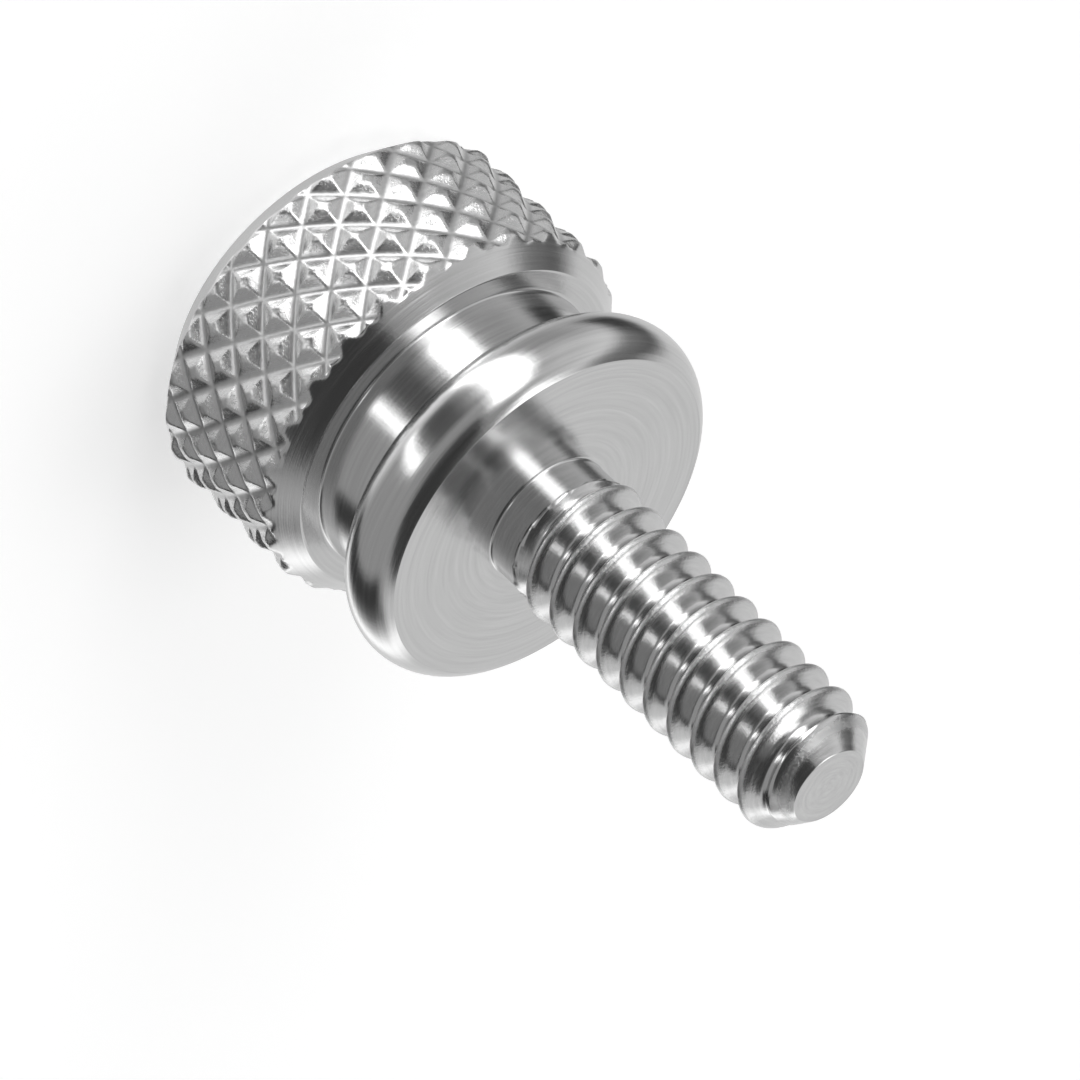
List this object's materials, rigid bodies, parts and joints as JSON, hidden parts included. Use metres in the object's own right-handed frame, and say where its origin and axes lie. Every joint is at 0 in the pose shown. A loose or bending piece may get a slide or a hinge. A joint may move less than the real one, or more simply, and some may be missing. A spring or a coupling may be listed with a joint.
{
  "type": "thumb screw",
  "caption": "Shouldered thumb screw: a knurled cylindrical head, a short neck, a round flange with a flat bearing face, and a right-hand machine thread with a chamfered tip.",
  "frame": {"origin": "centre of the head's flat top, which the screw stands on", "axes": "+Z along the screw's axis, from the head to the tip; the turned body is symmetric about Z, and the thread's crest crosses +X 0.71 mm above the bearing face"},
  "size_m": [0.0096, 0.0096, 0.0175],
  "materials": {
    "turned_steel": "bright turned stainless steel, with fine lathe marks round the axis"
  },
  "bodies": {
    "root": {"thumb_screw": "turned_steel"}
  },
  "joints": []
}
